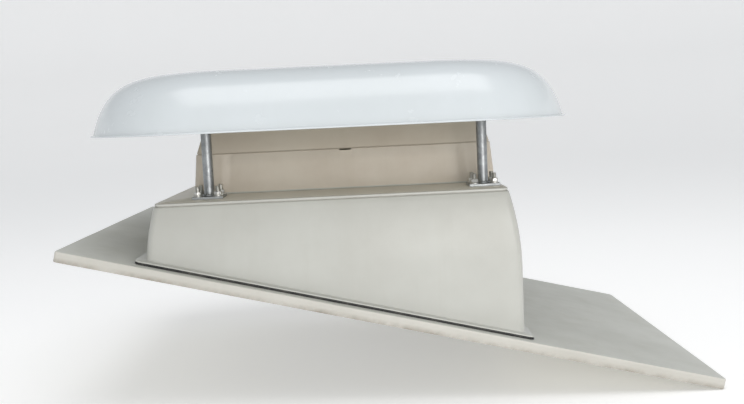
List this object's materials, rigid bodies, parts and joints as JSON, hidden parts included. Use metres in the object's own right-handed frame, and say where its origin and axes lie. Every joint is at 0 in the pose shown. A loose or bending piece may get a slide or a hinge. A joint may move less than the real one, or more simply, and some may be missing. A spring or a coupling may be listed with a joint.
{
  "type": "cowl vent",
  "caption": "Low-profile roof ventilation cowl: a square domed cap on posts over a throat collar with back-draught flaps, on a tapered upstand and a pitched flashing sheet.",
  "frame": {"origin": "where the upstand's vertical centre line meets the plane of the flashing sheet's underside, in the middle of the opening to the building", "axes": "+X runs down the roof, +Z is plumb upwards, Y runs across the slope"},
  "size_m": [1.6424, 1.22, 0.8602],
  "materials": {
    "white_gelcoat": "gloss",
    "grey_gelcoat": "satin",
    "sheet_gelcoat": "satin",
    "laminate": "rough",
    "galvanised": "satin",
    "zinc": "satin",
    "aluminium": "satin",
    "sealant": "matte",
    "nylon": "satin"
  },
  "bodies": {
    "base": {"flashing_sheet": "sheet_gelcoat", "sealing_strip": "sealant", "upstand_shell": "grey_gelcoat", "deck_seal": "sealant", "deck_tray": "grey_gelcoat", "throat_collar": "grey_gelcoat", "backing_plates": "galvanised", "stanchion_front_left": "galvanised", "stanchion_front_right": "galvanised", "stanchion_rear_left": "galvanised", "stanchion_rear_right": "galvanised", "foot_bolts": "zinc", "foot_washers": "zinc", "foot_nuts": "zinc", "head_bolts": "zinc", "head_washers": "zinc", "cap_pads": "laminate", "cap_rib_front": "laminate", "cap_rib_rear": "laminate", "cap_shell": "white_gelcoat", "mesh_frame": "aluminium", "mesh_screen": "galvanised", "mesh_screws": "zinc", "damper_frame": "aluminium", "seat_seal": "sealant", "damper_spindle": "zinc", "spindle_bushes": "nylon", "flap_stop": "aluminium", "damper_screws": "zinc"},
    "front_flap": {"flap_front": "aluminium"},
    "rear_flap": {"flap_rear": "aluminium"}
  },
  "joints": [
    {"name": "front_flap_hinge", "type": "hinge", "parent": "base", "child": "front_flap", "pos_m": [0.031, 0, 0.241], "axis": [-1, 0, 0], "range_deg": [0, 72]},
    {"name": "rear_flap_hinge", "type": "hinge", "parent": "base", "child": "rear_flap", "pos_m": [0.031, 0, 0.241], "axis": [1, 0, 0], "range_deg": [0, 72]}
  ]
}
